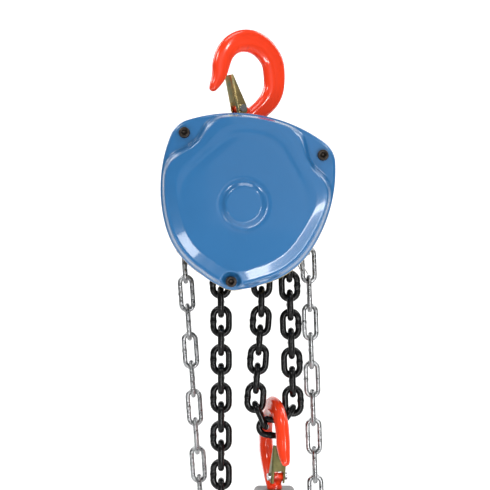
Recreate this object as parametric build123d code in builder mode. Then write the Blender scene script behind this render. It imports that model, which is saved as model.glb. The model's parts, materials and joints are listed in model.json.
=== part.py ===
"""Hand chain hoist, hanging by its top hook: frame, geared sheave, load brake, hand wheel and chains.

Frame: millimetres, +Z up. The origin is the saddle of the top hook, where the support bears. The drive axis
runs along Y, with the gear cover on the -Y side and the hand wheel on the +Y side. The frame hangs tilted
about Y.
"""

import os
from math import acos, asin, atan2, cos, degrees, hypot, pi, radians, sin, sqrt, tan

from build123d import *

os.makedirs("parts", exist_ok=True)

# ---------------------------------------------------------------- driving dimensions
hub_x, hub_z = -2.5, -145.0  # drive axis, seen from the front
body_tilt = 9.25  # lean of the frame's centre line to the right, degrees

load_wire, load_pitch, load_width = 6.0, 18.0, 20.4  # load chain, 6 x 18
hand_wire, hand_pitch, hand_width = 4.5, 28.0, 16.0  # hand chain
load_play, hand_play = 0.4, 0.6  # end play of the two wires inside one link
bead = 0.4  # how far a link's weld stands proud

plate_gap = 34.0  # between the side plates
plate_thick = 4.0
sheet = 1.6  # pressed covers
touch_gap = 0.1  # between faces that slide on each other
run_fit = 0.1  # radial clearance of a running fit
free_fit = 0.3  # radial clearance of a loose hole

load_pockets, hand_pockets = 4, 7
hand_wheel_y = 51.0

gear_module, pressure_angle = 1.5, 25.0
pinion_teeth, wheel_teeth = 12, 38
backlash = 0.3

saddle_radius = 20.0  # inside of both hooks
hook_thick = 18.0  # at the saddle
shank_radius = 7.0
top_hook_turn, bottom_hook_turn = 31.0, 105.0  # turn of each hook about Z, degrees
bottom_hook_x, bottom_hook_z = 26.0, -339.9  # saddle of the bottom hook
top_pin_z = -98.0
swivel_top = -66.0  # the side plates stop here under the turning hook

# ---------------------------------------------------------------- places worked out from them
plate_in = plate_gap / 2
plate_out = plate_in + plate_thick
second_front = -plate_out - 10.0  # load gear and small pinions run from here to 2 mm off the plate
first_back = second_front - 2.0
first_front = first_back - 8.0  # disc gears and drive pinion
support_back = first_front - 2.0
support_front = support_back - 3.0
face_y = support_front - 8.0  # outside of the gear cover's raised face
pad_y = face_y + 10.0  # outside of its screw pads
boss_y = face_y - 3.2
wheel_face_y = hand_wheel_y + 21.0
gear_centres = gear_module * (pinion_teeth + wheel_teeth) / 2
rim_radius = gear_centres + gear_module * (wheel_teeth + 2) / 2 + 6.0  # lower side, past the gears
crown_y = rim_radius + 9.1  # top of the outline
foot_y = 4.0 - rim_radius  # lower stay bolt
lobe_x, lobe_y = rim_radius - 10.7, rim_radius - 18.3  # upper stay bolts, from the drive axis, in the frame
tilt = radians(body_tilt)
stay_points = [(-lobe_x, lobe_y), (lobe_x, lobe_y), (0, foot_y)]


def body_plane(y):
    """The frame's own plane at depth y: x right, y up the leaning centre line, normal to the front."""
    return Plane(origin=(hub_x, y, hub_z), x_dir=(cos(tilt), 0, -sin(tilt)), z_dir=(0, -1, 0))


def upright_plane(y, x=hub_x, z=hub_z):
    """A plane at depth y facing the front, not tilted, centred on the drive axis unless told otherwise."""
    return Plane(origin=(x, y, z), x_dir=(1, 0, 0), z_dir=(0, -1, 0))


def leaning(x, z):
    """Local frame coordinates of a point given by its world x and z."""
    dx, dz = x - hub_x, z - hub_z
    return (dx * cos(tilt) - dz * sin(tilt), dx * sin(tilt) + dz * cos(tilt))


def save(piece, name):
    """Labels a finished piece and writes it as its own node."""
    piece.label = name
    export_step(piece, f"parts/{name}.step")


def many(solids, name):
    """Writes several like solids as one node."""
    save(Compound(children=list(solids)), name)


def outline(grow=0.0):
    """The three-lobed outline of plates and covers as a face, grown or shrunk by a margin."""
    corner_r, side_r, top_r, foot_r = 24.3, 130.0, 140.0, 24.0
    corner_at = Vector(lobe_x - 10.9, lobe_y - 9.2)
    # the top arc is centred on the middle line and touches the corner's circle from outside
    top_at = Vector(0, crown_y - top_r)
    top_angle = degrees(atan2(corner_at.Y - top_at.Y, corner_at.X))
    corner_fit = hypot(corner_at.X, corner_at.Y - top_at.Y) - (top_r - corner_r)
    corner_at = Vector(corner_at.X - corner_fit * cos(radians(top_angle)),
                       corner_at.Y - corner_fit * sin(radians(top_angle)))
    # the side arc touches the corner's circle and the rim's circle, both from outside
    to_corner, to_rim = side_r - corner_r, side_r - rim_radius
    reach = corner_at.length
    along = (reach**2 + to_rim**2 - to_corner**2) / (2 * reach)
    off = sqrt(to_rim**2 - along**2)
    unit = corner_at.normalized()
    side_at = Vector(along * unit.X - off * unit.Y, along * unit.Y + off * unit.X)
    side_high = degrees(atan2(corner_at.Y - side_at.Y, corner_at.X - side_at.X))
    side_low = degrees(atan2(-side_at.Y, -side_at.X))
    foot_at = Vector(0, foot_y - 8.3 + foot_r)
    foot_angle = -degrees(asin((rim_radius - foot_r) / -foot_at.Y))
    rim_end = Vector(cos(radians(foot_angle)), sin(radians(foot_angle))) * (rim_radius + grow)
    foot_start = foot_at + Vector(cos(radians(foot_angle)), sin(radians(foot_angle))) * (foot_r + grow)
    with BuildSketch(Plane.XY) as shape:
        with BuildLine():
            CenterArc(top_at, top_r + grow, top_angle, 90 - top_angle)
            CenterArc(corner_at, corner_r + grow, side_high, top_angle - side_high)
            CenterArc(side_at, side_r + grow, side_low, side_high - side_low)
            CenterArc((0, 0), rim_radius + grow, foot_angle, side_low - foot_angle)
            Line(rim_end, foot_start)
            CenterArc(foot_at, foot_r + grow, -90, foot_angle + 90)
            mirror(about=Plane.YZ)
        make_face()
    return shape.sketch


def raised(inset=0.0):
    """Outline of the gear cover's raised face: drawn in from the edge and hollowed round the screw pads."""
    with BuildSketch(Plane.XY) as shape:
        add(outline(-3.5 - inset))
        with Locations((lobe_x, lobe_y), (-lobe_x, lobe_y)):
            Circle(12.5 + inset, mode=Mode.SUBTRACT)
        with Locations((0, foot_y)):
            Circle(9.0 + inset, mode=Mode.SUBTRACT)
        horns = shape.vertices().filter_by(lambda v: hypot(abs(v.X) - lobe_x, v.Y - lobe_y) < 13 + inset)
        fillet(horns, 7.0 - inset)
    return shape.sketch


# ---------------------------------------------------------------- chain links and where they lie
def link_solid(wire, pitch, width):
    """One welded link: long axis Z, lying in the XZ plane, with its weld on the +X leg."""
    bend = (width - wire) / 2
    leg = pitch + wire - 2 * bend
    with BuildPart() as link:
        with BuildLine(Plane.XZ) as path:
            Line((bend, -leg / 2), (bend, leg / 2))
            CenterArc((0, leg / 2), bend, 0, 180)
            Line((-bend, leg / 2), (-bend, -leg / 2))
            CenterArc((0, -leg / 2), bend, 180, 180)
        with BuildSketch(Plane((bend, 0, -leg / 2), x_dir=(1, 0, 0), z_dir=(0, 0, 1))):
            Circle(wire / 2)
        sweep(path=path.wires()[0])
        with Locations((bend, 0, 0)):
            Cylinder(wire / 2 + bead, wire * 0.55)
    return link.part


load_link = link_solid(load_wire, load_pitch, load_width)
hand_link = link_solid(hand_wire, hand_pitch, hand_width)


def spans(wire, pitch, play):
    """Joint-to-joint lengths of a link lying across the view and of one facing it."""
    return pitch + wire, pitch - wire - play


load_flat, load_face = spans(load_wire, load_pitch, load_play)
hand_flat, hand_face = spans(hand_wire, hand_pitch, hand_play)


def joint_radius(flat, face, pockets):
    """Radius of the chain joints when flat and facing links wrap a wheel with that many pockets."""
    step = pi / pockets
    return sqrt(flat**2 + face**2 + 2 * flat * face * cos(step)) / (2 * sin(step))


load_joint_r = joint_radius(load_flat, load_face, load_pockets)
hand_joint_r = joint_radius(hand_flat, hand_face, hand_pockets)
load_face_r = sqrt(load_joint_r**2 - (load_face / 2) ** 2)
load_flat_r = sqrt(load_joint_r**2 - (load_flat / 2) ** 2)
hand_face_r = sqrt(hand_joint_r**2 - (hand_face / 2) ** 2)
hand_flat_r = sqrt(hand_joint_r**2 - (hand_flat / 2) ** 2)


def heading(angle):
    """Direction in the XZ plane, in degrees from straight down towards +X."""
    return Vector(sin(radians(angle)), 0, -cos(radians(angle)))


def placed(link, centre, angle, facing, twist=0.0):
    """A link at a centre, along a heading, facing the view or lying across it, twisted about its axis."""
    along = heading(angle)
    across = Vector(0, 1, 0).cross(along)
    roll = radians(twist + (0 if facing else 90))
    x_dir = across * cos(roll) + Vector(0, 1, 0) * sin(roll)
    return Plane(origin=centre, x_dir=x_dir, z_dir=along).location * link


def walk(start, angles, facing, flat, face):
    """Centres, headings and kinds of links joined end to end from a joint, with the joint where they end."""
    at, row = Vector(start), []
    for angle in angles:
        length = face if facing else flat
        row.append((at + heading(angle) * (length / 2), angle, facing))
        at = at + heading(angle) * length
        facing = not facing
    return row, at


def wrap(pockets, y, face_r, flat_r, first_facing, count):
    """Links lying round a wheel from its left side over the top."""
    row = []
    for i in range(count):
        facing = first_facing if i % 2 == 0 else not first_facing
        turn = 180 - i * 180 / pockets
        radius = face_r if facing else flat_r
        centre = Vector(hub_x + radius * cos(radians(turn)), y, hub_z + radius * sin(radians(turn)))
        row.append((centre, turn, facing))
    return row


def links(link, row):
    """Solids for a list of link places."""
    return [placed(link, centre, angle, facing) for centre, angle, facing in row]


# load chain: over the sheave, down both sides, round the bottom and up to the bottom hook's load pin
sheave_row = wrap(load_pockets, 0, load_face_r, load_flat_r, True, load_pockets + 1)
fall_top = Vector(hub_x - load_face_r, 0, hub_z - load_face / 2)
slack_top = Vector(hub_x + load_face_r, 0, hub_z - load_face / 2)
fall_fixed, fall_hinge = walk(fall_top, [1.0] * 5, False, load_flat, load_face)
slack_fixed, slack_hinge = walk(slack_top, [-6.0, -6.0, -5.0, -2.0, -1.0], False, load_flat, load_face)
fall_moving, turn_start = walk(fall_hinge, [0.0] * 12, True, load_flat, load_face)
turn_row, turn_last = walk(turn_start, [28.0, 58.0, 98.0], True, load_flat, load_face)
last_lean = 180 - degrees(asin((bottom_hook_x - turn_last.X) / load_flat))
end_row, load_pin_at = walk(turn_last, [last_lean, 180.0], False, load_flat, load_face)
slack_moving, bight_start = walk(slack_hinge, [-4.0] * 5, True, load_flat, load_face)
bight_row, bight_end = walk(bight_start, [25.0, 84.0, 145.0], False, load_flat, load_face)
anchor_moving, anchor_hinge = walk(bight_end, [181.4, 181.6] + [181.8] * 4, True, load_flat, load_face)
anchor_fixed, anchor_pin_at = walk(anchor_hinge, [181.6] * 3, True, load_flat, load_face)
load_swing_z = -238.0

# hand chain: over the hand wheel, down both sides and round the bottom
wheel_row = wrap(hand_pockets, hand_wheel_y, hand_face_r, hand_flat_r, False, hand_pockets + 1)
left_top = Vector(hub_x - hand_flat_r, hand_wheel_y, hub_z - hand_flat / 2)
right_top = Vector(hub_x + hand_face_r, hand_wheel_y, hub_z - hand_face / 2)
left_fixed, left_hinge = walk(left_top, [3.9] * 2, True, hand_flat, hand_face)
right_fixed, right_hinge = walk(right_top, [1.8] * 2, False, hand_flat, hand_face)
left_moving, left_low = walk(left_hinge, [3.9] * 9, True, hand_flat, hand_face)
right_moving, right_low = walk(right_hinge, [1.8] * 9, False, hand_flat, hand_face)
low_row, low_end = walk(left_low, [22.0, 50.0, 80.0, 110.0], False, hand_flat, hand_face)
# the last two links close the loop on the right fall
gap = right_low - low_end
span = gap.length
gap_angle = degrees(atan2(gap.X, -gap.Z))
open_angle = degrees(acos((hand_flat**2 + span**2 - hand_face**2) / (2 * hand_flat * span)))
flat_angle = gap_angle - open_angle
face_start = low_end + heading(flat_angle) * hand_flat
rest = right_low - face_start
face_angle = degrees(atan2(rest.X, -rest.Z))
close_row, close_end = walk(low_end, [flat_angle, face_angle], False, hand_flat, hand_face)


# ---------------------------------------------------------------- side plates, stays and fixed pins
bearing_in, bearing_out = 15.0 + run_fit, 18.5
bolt_r, spacer_r, pillar_r, screw_r = 4.0, 6.5, 5.0, 2.5
top_pin_r, anchor_pin_r, journal_r = 6.0, load_wire / 2 - 0.1, 4.5
top_pin_at = leaning(0, top_pin_z)
anchor_at = leaning(anchor_pin_at.X, anchor_pin_at.Z)
roller_r, roller_pin_r = 4.5, 2.5
left_roller = (hub_x - load_face_r - load_width / 2 - 1.2 - roller_r, -166.0)
right_roller = (hub_x + load_face_r + load_width / 2 - 1.4 + roller_r, -160.0)
guide_at = (hub_x - 2.0, -190.0)
pillar_points = [(-22.0, 44.0), (22.0, 44.0), (-22.0, -44.0), (22.0, -44.0)]
pawl_pivot_r = 38.0
pawl_angles = (130.0, -50.0)
pawl_points = [(pawl_pivot_r * cos(radians(a)), pawl_pivot_r * sin(radians(a))) for a in pawl_angles]


def drill(points, radius):
    """Round holes in the current sketch."""
    with Locations(*points):
        Circle(radius, mode=Mode.SUBTRACT)


guide_points = [leaning(x, z) for x, z in (left_roller, right_roller, guide_at)]
hook_sweep = Pos(0, 0, swivel_top) * Cylinder(28, 60, align=(Align.CENTER, Align.CENTER, Align.MIN))

with BuildPart() as gear_side_plate:
    with BuildSketch(body_plane(-plate_in)):
        add(outline(0.5))
        drill(stay_points, bolt_r + run_fit)
        drill([(0, 0)], bearing_out)
        drill([top_pin_at], top_pin_r + run_fit)
        drill([anchor_at], anchor_pin_r + run_fit)
        drill([(-gear_centres, 0), (gear_centres, 0)], journal_r + run_fit)
        drill(guide_points, roller_pin_r)
        drill(pillar_points, screw_r)
    extrude(amount=plate_thick)
save(gear_side_plate.part - hook_sweep, "gear_side_plate")

with BuildPart() as wheel_side_plate:
    with BuildSketch(body_plane(plate_out)):
        add(outline(0.5))
        drill(stay_points, bolt_r + run_fit)
        drill([(0, 0)], bearing_out)
        drill([top_pin_at], top_pin_r + run_fit)
        drill([anchor_at], anchor_pin_r + run_fit)
        drill(guide_points, roller_pin_r)
        drill(pawl_points, 3.0)
    extrude(amount=plate_thick)
save(wheel_side_plate.part - hook_sweep, "wheel_side_plate")


def rod(plane, radius, length, at=(0, 0)):
    """A plain rod from a plane along its normal."""
    with BuildPart() as bar:
        with BuildSketch(plane):
            with Locations(at):
                Circle(radius)
        extrude(amount=length)
    return bar.part


def ring(plane, outer, inner, length, at=(0, 0)):
    """A plain ring from a plane along its normal."""
    with BuildPart() as band:
        with BuildSketch(plane):
            with Locations(at):
                Circle(outer)
                Circle(inner, mode=Mode.SUBTRACT)
        extrude(amount=length)
    return band.part


stays = []
for point in stay_points:
    # the foot stay stops inside the plates, so that the load fall can pass between its two halves
    through = point[1] > 0
    with BuildPart() as stay:
        with BuildSketch(body_plane(wheel_face_y + 8)):
            with Locations(point):
                Circle(bolt_r)
        extrude(amount=wheel_face_y + 8 + plate_out)
        if through:
            with BuildSketch(body_plane(plate_in - touch_gap / 2)):
                with Locations(point):
                    Circle(spacer_r)
            extrude(amount=plate_gap - touch_gap)
        with BuildSketch(body_plane(-plate_out)):
            with Locations(point):
                Circle(pillar_r)
        extrude(amount=plate_out * -1 - (pad_y + sheet))
        with BuildSketch(body_plane(pad_y + 14)):
            with Locations(point):
                Circle(screw_r)
        extrude(amount=20, mode=Mode.SUBTRACT)
        if not through:
            with BuildSketch(body_plane(plate_in)):
                with Locations(point):
                    Circle(20)
            extrude(amount=plate_gap, mode=Mode.SUBTRACT)
    stays += stay.part.solids()
many(stays, "stay_bolts")

with BuildPart() as top_pin:
    with BuildSketch(body_plane(plate_out + 3.5)):
        with Locations(top_pin_at):
            Circle(top_pin_r)
    extrude(amount=2 * plate_out + 7)
    for y in (plate_out + 1.5, -plate_out - 0.3):
        with BuildSketch(body_plane(y)):
            with Locations(top_pin_at):
                Circle(top_pin_r + 1)
                Circle(top_pin_r - 0.8, mode=Mode.SUBTRACT)
        extrude(amount=1.2, mode=Mode.SUBTRACT)
save(top_pin.part, "top_pin")
many([ring(body_plane(y), top_pin_r + 2.6, top_pin_r - 0.75, 1.1, top_pin_at)
      for y in (plate_out + 1.45, -plate_out - 0.35)], "top_pin_clips")

pin_lean = heading(28.0)
pin_across = heading(118.0)
split_y = plate_out + 4.0
with BuildPart() as chain_anchor_pin:
    with BuildSketch(body_plane(plate_out + 7)):
        with Locations(anchor_at):
            Circle(anchor_pin_r)
    extrude(amount=2 * plate_out + 7.5)
    with BuildSketch(body_plane(-plate_out - touch_gap)):
        with Locations(anchor_at):
            Circle(anchor_pin_r + 2)
    extrude(amount=2.2)
    split_from = Vector(anchor_pin_at.X, split_y, anchor_pin_at.Z) - pin_lean * 10
    with BuildSketch(Plane(origin=split_from, x_dir=(0, 1, 0), z_dir=pin_lean)):
        Circle(1.35)
    extrude(amount=20, mode=Mode.SUBTRACT)
save(chain_anchor_pin.part, "chain_anchor_pin")

with BuildPart() as anchor_split_pin:
    split_at = Vector(anchor_pin_at.X, split_y, anchor_pin_at.Z)
    for side, spread, length in ((1, 3.0, 37.0), (-1, -2.0, 34.0)):
        eye = split_at - pin_lean * 5.5 + Vector(0, side * 0.62, 0)
        tip = split_at + pin_lean * length + pin_across * spread + Vector(0, side * 1.2, 0)
        bent = split_at + pin_lean * 5 + Vector(0, side * 0.62, 0)
        for start, end in ((eye, bent), (bent, tip)):
            with BuildSketch(Plane(origin=start, z_dir=(end - start).normalized())):
                Circle(0.6)
            extrude(amount=(end - start).length)
        with Locations(bent):
            Sphere(0.6)
    with BuildSketch(Plane(origin=split_at - pin_lean * 7.2, x_dir=pin_across, z_dir=(0, 1, 0))):
        Circle(2.2)
        Circle(1.1, mode=Mode.SUBTRACT)
    extrude(amount=0.9, both=True)
save(anchor_split_pin.part, "anchor_split_pin")

many([ring(body_plane(y), bearing_out - run_fit, bearing_in, plate_thick) for y in (plate_out, -plate_in)],
     "sheave_bearings")

roller_pins, rollers = [], []
for x, z in (left_roller, right_roller):
    roller_pins.append(rod(body_plane(plate_out), roller_pin_r - 0.05, 2 * plate_out, leaning(x, z)))
    rollers.append(ring(body_plane(plate_in - 1.5), roller_r, roller_pin_r + run_fit, plate_gap - 3,
                        leaning(x, z)))
many(roller_pins, "guide_roller_pins")
save(rollers[0], "guide_roller_left")
save(rollers[1], "guide_roller_right")

with BuildPart() as chain_guide:
    with BuildSketch(upright_plane(plate_in - 1)) as guide_face:
        Polygon((-7, -36), (1.5, -36), (4.0, -62), (-9.0, -62), align=None)
    extrude(amount=plate_gap - 2)
    fillet(chain_guide.edges().filter_by(Axis.Y), 1.5)
    with BuildSketch(body_plane(plate_out)):
        with Locations(leaning(*guide_at)):
            Circle(roller_pin_r - 0.05)
    extrude(amount=2 * plate_out)
save(chain_guide.part, "chain_guide")


# ---------------------------------------------------------------- gears
def gear_face(teeth):
    """Involute gear outline as a face, tooth centred on local +X."""
    pitch_r = gear_module * teeth / 2
    base_r = pitch_r * cos(radians(pressure_angle))
    tip_r = pitch_r + 0.8 * gear_module
    root_r = pitch_r - 1.05 * gear_module
    tool = tan(radians(pressure_angle)) - radians(pressure_angle)
    half_tooth = (pi * gear_module / 2 - backlash / 2) / (2 * pitch_r)
    start_r = max(base_r, root_r)

    def flank(radius):
        roll = acos(min(1.0, base_r / radius))
        return half_tooth + tool - (tan(roll) - roll)

    radii = [start_r + (tip_r - start_r) * k / 4 for k in range(5)]
    points = []
    for tooth in range(teeth):
        mid = 2 * pi * tooth / teeth
        points.append((root_r, mid - flank(start_r)))
        points += [(r, mid - flank(r)) for r in radii]
        points += [(r, mid + flank(r)) for r in reversed(radii)]
        points.append((root_r, mid + flank(start_r)))
    corners = []
    for radius, angle in points:
        corner = (radius * cos(angle), radius * sin(angle))
        if not corners or hypot(corner[0] - corners[-1][0], corner[1] - corners[-1][1]) > 0.01:
            corners.append(corner)
    with BuildSketch(Plane.XY) as face:
        with BuildLine():
            Polyline(*corners, close=True)
        make_face()
    return face.sketch


pinion_profile = gear_face(pinion_teeth)
wheel_profile = gear_face(wheel_teeth)
mesh_turn = 180 / wheel_teeth
shaft_r, hub_r = 6.0, 11.0

with BuildPart() as load_gear:
    with BuildSketch(body_plane(-plate_out - 2)):
        add(wheel_profile, rotation=mesh_turn)
        Circle(hub_r + 0.02, mode=Mode.SUBTRACT)
    extrude(amount=8)
save(load_gear.part, "load_gear")
save(ring(body_plane(second_front - 0.2), hub_r + 2.2, hub_r - 0.6, 0.9), "load_gear_clip")

for name, side in (("intermediate_gear_left", -1), ("intermediate_gear_right", 1)):
    with BuildPart() as intermediate:
        with BuildSketch(body_plane(first_back)):
            with Locations((side * gear_centres, 0)):
                add(wheel_profile, rotation=mesh_turn)
        extrude(amount=8)
        with BuildSketch(body_plane(-plate_out - 1)):
            with Locations((side * gear_centres, 0)):
                add(pinion_profile)
        extrude(amount=-first_back - plate_out - 1 + 0.5)
        with BuildSketch(body_plane(-plate_in)):
            with Locations((side * gear_centres, 0)):
                Circle(journal_r)
        extrude(amount=-plate_in - support_front)
        with BuildSketch(body_plane(first_front)):
            with Locations((side * gear_centres, 0)):
                with PolarLocations(18, 5):
                    Circle(5)
        extrude(amount=-8.1, mode=Mode.SUBTRACT)
    save(intermediate.part, name)

with BuildPart() as gear_support_plate:
    with BuildSketch(body_plane(support_back)):
        with BuildLine():
            FilletPolyline((-54, -20), (-54, 20), (-30, 54), (30, 54), (54, 20), (54, -20), (30, -54),
                           (-30, -54), radius=10, close=True)
        make_face()
        drill([(-gear_centres, 0), (gear_centres, 0), (0, 0)], journal_r + run_fit)
        drill(pillar_points, screw_r + 0.2)
        drill([(0, 34), (0, -34)], 9)
    extrude(amount=3)
save(gear_support_plate.part, "gear_support_plate")
many([ring(body_plane(-plate_out - touch_gap), 5.5, screw_r, -plate_out - support_back - 0.2, p)
      for p in pillar_points], "support_pillars")

support_screws = []
for point in pillar_points:
    with BuildPart() as screw:
        with BuildSketch(body_plane(support_front - touch_gap)):
            with Locations(point):
                Circle(4.2)
        extrude(amount=2.6)
        chamfer(screw.faces().sort_by(Axis.Y)[0].edges(), 0.4)
        with BuildSketch(body_plane(support_front)):
            with Locations(point):
                Circle(screw_r - 0.05)
        extrude(amount=-15)
        with BuildSketch(body_plane(support_front - 3)):
            with Locations(point):
                RegularPolygon(2.2, 6)
        extrude(amount=-2, mode=Mode.SUBTRACT)
    support_screws.append(screw.part)
many(support_screws, "support_screws")

# ---------------------------------------------------------------- load sheave, untilted to meet the chain
with BuildPart() as load_sheave:
    with BuildSketch(upright_plane(14.5)):
        Circle(27.5)
    extrude(amount=29)
    chamfer(load_sheave.edges().filter_by(GeomType.CIRCLE), 1.5)
    with BuildSketch(upright_plane(plate_out)):
        Circle(15)
    extrude(amount=2 * plate_out)
    with BuildSketch(upright_plane(0)):
        Circle(hub_r)
    extrude(amount=-second_front + 1.6)
    with BuildSketch(upright_plane(3.9)):
        Circle(30)
        Circle(load_face_r - load_width / 2 - 0.4, mode=Mode.SUBTRACT)
    extrude(amount=7.8, mode=Mode.SUBTRACT)
    for k in range(load_pockets):
        angle = 45 + 90 * k
        floor = load_flat_r - load_wire / 2 - 0.4
        out = Vector(cos(radians(angle)), 0, sin(radians(angle)))
        seat = Plane(origin=Vector(hub_x, 0, hub_z) + out * floor, x_dir=(0, 1, 0), z_dir=out)
        with BuildSketch(seat):
            SlotOverall(load_pitch + 2 * load_wire + 1.4, load_width + 1.2, rotation=90)
        extrude(amount=16, mode=Mode.SUBTRACT)
    with BuildSketch(upright_plane(plate_out + 1)):
        Circle(shaft_r + free_fit)
    extrude(amount=80, mode=Mode.SUBTRACT)
    with BuildSketch(upright_plane(second_front - 0.15)):
        Circle(hub_r + 1)
        Circle(hub_r - 0.65, mode=Mode.SUBTRACT)
    extrude(amount=1.0, mode=Mode.SUBTRACT)
save(load_sheave.part, "load_sheave")

# ---------------------------------------------------------------- drive shaft, brake and hand wheel
brake_y = plate_out + 2.0
with BuildPart() as drive_shaft:
    with BuildSketch(body_plane(wheel_face_y - 7)):
        Circle(shaft_r)
    extrude(amount=wheel_face_y - 7 - first_back)
    with BuildSketch(body_plane(first_back)):
        add(pinion_profile)
    extrude(amount=8)
    with BuildSketch(body_plane(first_front)):
        Circle(journal_r)
    extrude(amount=5)
    with BuildSketch(Plane(origin=(hub_x - 12, wheel_face_y - 10, hub_z), x_dir=(0, 1, 0), z_dir=(1, 0, 0))):
        Circle(1.3)
    extrude(amount=24, mode=Mode.SUBTRACT)
save(drive_shaft.part, "drive_shaft")

with BuildPart() as brake_hub:
    with BuildSketch(body_plane(brake_y + 5)):
        Circle(24)
    extrude(amount=5)
    with BuildSketch(body_plane(brake_y + 15)):
        Circle(11)
    extrude(amount=15)
    with BuildSketch(body_plane(brake_y + 16)):
        Circle(shaft_r + 0.03)
    extrude(amount=17, mode=Mode.SUBTRACT)
save(brake_hub.part, "brake_hub")

many([ring(body_plane(y), 23.0, 11.1, 2.4) for y in (brake_y + 7.45, brake_y + 14.95)], "friction_discs")

ratchet_teeth, ratchet_tip, ratchet_root = 12, 27.0, 23.5
with BuildPart() as ratchet_disc:
    with BuildSketch(body_plane(brake_y + 12.4)):
        with BuildLine():
            saw = []
            for k in range(ratchet_teeth):
                base = 2 * pi * k / ratchet_teeth
                saw.append((ratchet_root * cos(base), ratchet_root * sin(base)))
                tip = base + 2 * pi / ratchet_teeth - 0.09
                saw.append((ratchet_tip * cos(tip), ratchet_tip * sin(tip)))
                saw.append((ratchet_tip * cos(tip + 0.06), ratchet_tip * sin(tip + 0.06)))
            Polyline(*saw, close=True)
        make_face()
        Circle(11.2, mode=Mode.SUBTRACT)
    extrude(amount=4.8)
save(ratchet_disc.part, "ratchet_disc")

pawl_pins, pawl_springs = [], []
for name, angle, point in zip(("pawl_upper", "pawl_lower"), pawl_angles, pawl_points):
    # the nose hangs just clear of the teeth, 28 degrees round from the pivot
    nose_r = ratchet_tip + 0.4
    nose = (nose_r * cos(radians(angle - 26)), nose_r * sin(radians(angle - 26)))
    heel = ((nose_r + 5) * cos(radians(angle - 24)), (nose_r + 5) * sin(radians(angle - 24)))
    with BuildPart() as pawl:
        with BuildSketch(body_plane(brake_y + 12.2)):
            with BuildSketch(Plane.XY, mode=Mode.PRIVATE) as arm:
                with Locations(point):
                    Circle(5.5)
                with Locations(nose):
                    Circle(0.3)
                with Locations(heel):
                    Circle(1.2)
                make_hull()
            add(arm.sketch)
            drill([point], 3.0 + run_fit)
        extrude(amount=4.4)
    save(pawl.part, name)
    with BuildPart() as pin:
        with BuildSketch(body_plane(brake_y + 15)):
            with Locations(point):
                Circle(2.95)
        extrude(amount=brake_y + 15 - plate_in)
        with BuildSketch(body_plane(brake_y + 7.2)):
            with Locations(point):
                Circle(4.5)
        extrude(amount=brake_y + 7.2 - plate_out - 0.1)
    pawl_pins.append(pin.part)
    pawl_springs.append(ring(body_plane(brake_y + 15.2), 4.2, 3.1, 2.6, point))
many(pawl_pins, "pawl_pins")
many(pawl_springs, "pawl_springs")

with BuildPart() as hand_wheel:
    with BuildSketch(upright_plane(hand_wheel_y + 11)):
        Circle(63.5)
        Circle(48, mode=Mode.SUBTRACT)
    extrude(amount=22)
    chamfer(hand_wheel.edges().filter_by(GeomType.CIRCLE).sort_by(SortBy.RADIUS)[-2:], 1.2)
    with BuildSketch(upright_plane(hand_wheel_y + 4)):
        Circle(50)
    extrude(amount=6)
    with BuildSketch(upright_plane(hand_wheel_y + 7)):
        Circle(17)
    extrude(amount=hand_wheel_y + 7 - brake_y - 15.1)
    with BuildSketch(upright_plane(hand_wheel_y + 3)):
        Circle(80)
        Circle(hand_face_r - hand_width / 2 - 0.4, mode=Mode.SUBTRACT)
    extrude(amount=6, mode=Mode.SUBTRACT)
    for k in range(hand_pockets):
        angle = 180 + 360 * k / hand_pockets
        out = Vector(cos(radians(angle)), 0, sin(radians(angle)))
        floor = hand_flat_r - hand_wire / 2 - 0.4
        seat = Plane(origin=Vector(hub_x, hand_wheel_y, hub_z) + out * floor, x_dir=(0, 1, 0), z_dir=out)
        with BuildSketch(seat):
            SlotOverall(hand_pitch + 2 * hand_wire + 1.4, hand_width + 1.2, rotation=90)
        extrude(amount=12, mode=Mode.SUBTRACT)
    with BuildSketch(upright_plane(hand_wheel_y + 12)):
        Circle(shaft_r + 0.05)
        with PolarLocations(33, 5):
            Circle(8.5)
    extrude(amount=40, mode=Mode.SUBTRACT)
save(hand_wheel.part, "hand_wheel")

with BuildPart() as drive_shaft_nut:
    with BuildSketch(upright_plane(wheel_face_y - 8)):
        RegularPolygon(10, 6)
        Circle(shaft_r + 0.05, mode=Mode.SUBTRACT)
    extrude(amount=wheel_face_y - 8 - hand_wheel_y - 7.1)
    with BuildSketch(Plane(origin=(hub_x, wheel_face_y - 10, hub_z), x_dir=(0, 1, 0), z_dir=(1, 0, 0))):
        Rectangle(4.2, 3.0)
    extrude(amount=12, both=True, mode=Mode.SUBTRACT)
save(drive_shaft_nut.part, "drive_shaft_nut")
save(rod(Plane(origin=(hub_x - 11, wheel_face_y - 10, hub_z), x_dir=(0, 1, 0), z_dir=(1, 0, 0)), 1.2, 22),
     "shaft_split_pin")

# ---------------------------------------------------------------- covers
def pressed(back, front, low, high, low_front, round_low, round_high):
    """A pressed form: the outline up to its pad level, and a second outline raised above it."""
    with BuildPart() as form:
        with BuildSketch(body_plane(0)):
            add(low)
        extrude(amount=back - low_front)
        fillet(form.faces().sort_by(Axis.Y)[0].edges(), round_low)
    with BuildPart() as rise:
        with BuildSketch(body_plane(0)):
            add(high)
        extrude(amount=low_front + 2.5 - front)
        if round_high:
            fillet(rise.faces().sort_by(Axis.Y)[0].edges(), round_high)
    return Pos(0, back, 0) * form.part, Pos(0, low_front + 2.5, 0) * rise.part


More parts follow.
